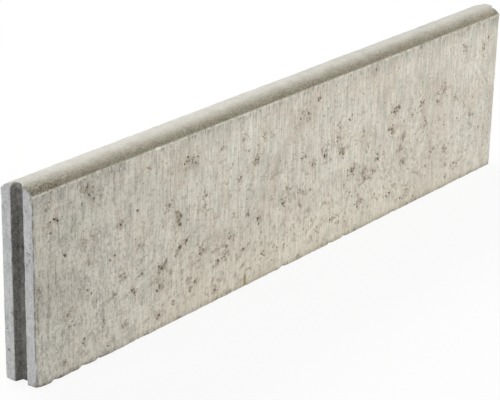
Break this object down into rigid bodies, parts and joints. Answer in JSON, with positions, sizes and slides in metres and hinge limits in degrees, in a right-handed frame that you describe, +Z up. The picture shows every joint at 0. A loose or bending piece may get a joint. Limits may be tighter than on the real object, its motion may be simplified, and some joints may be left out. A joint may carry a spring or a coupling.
{
  "type": "concrete kerb stone",
  "caption": "Long thin concrete kerb stone for edging a lawn, with a rounded crown, a groove in one end face and a matching tongue on the other.",
  "frame": {"origin": "on the ground, at the middle of the foot, halfway between the two end faces", "axes": "+X along the row of stones towards the tongue, +Y through the thickness away from the front face, +Z up to the crown"},
  "size_m": [1.0085, 0.05, 0.25],
  "materials": {
    "concrete": "pale grey-beige precast concrete, streaked and pitted, matt"
  },
  "bodies": {
    "root": {"kerb_stone": "concrete"}
  },
  "joints": []
}
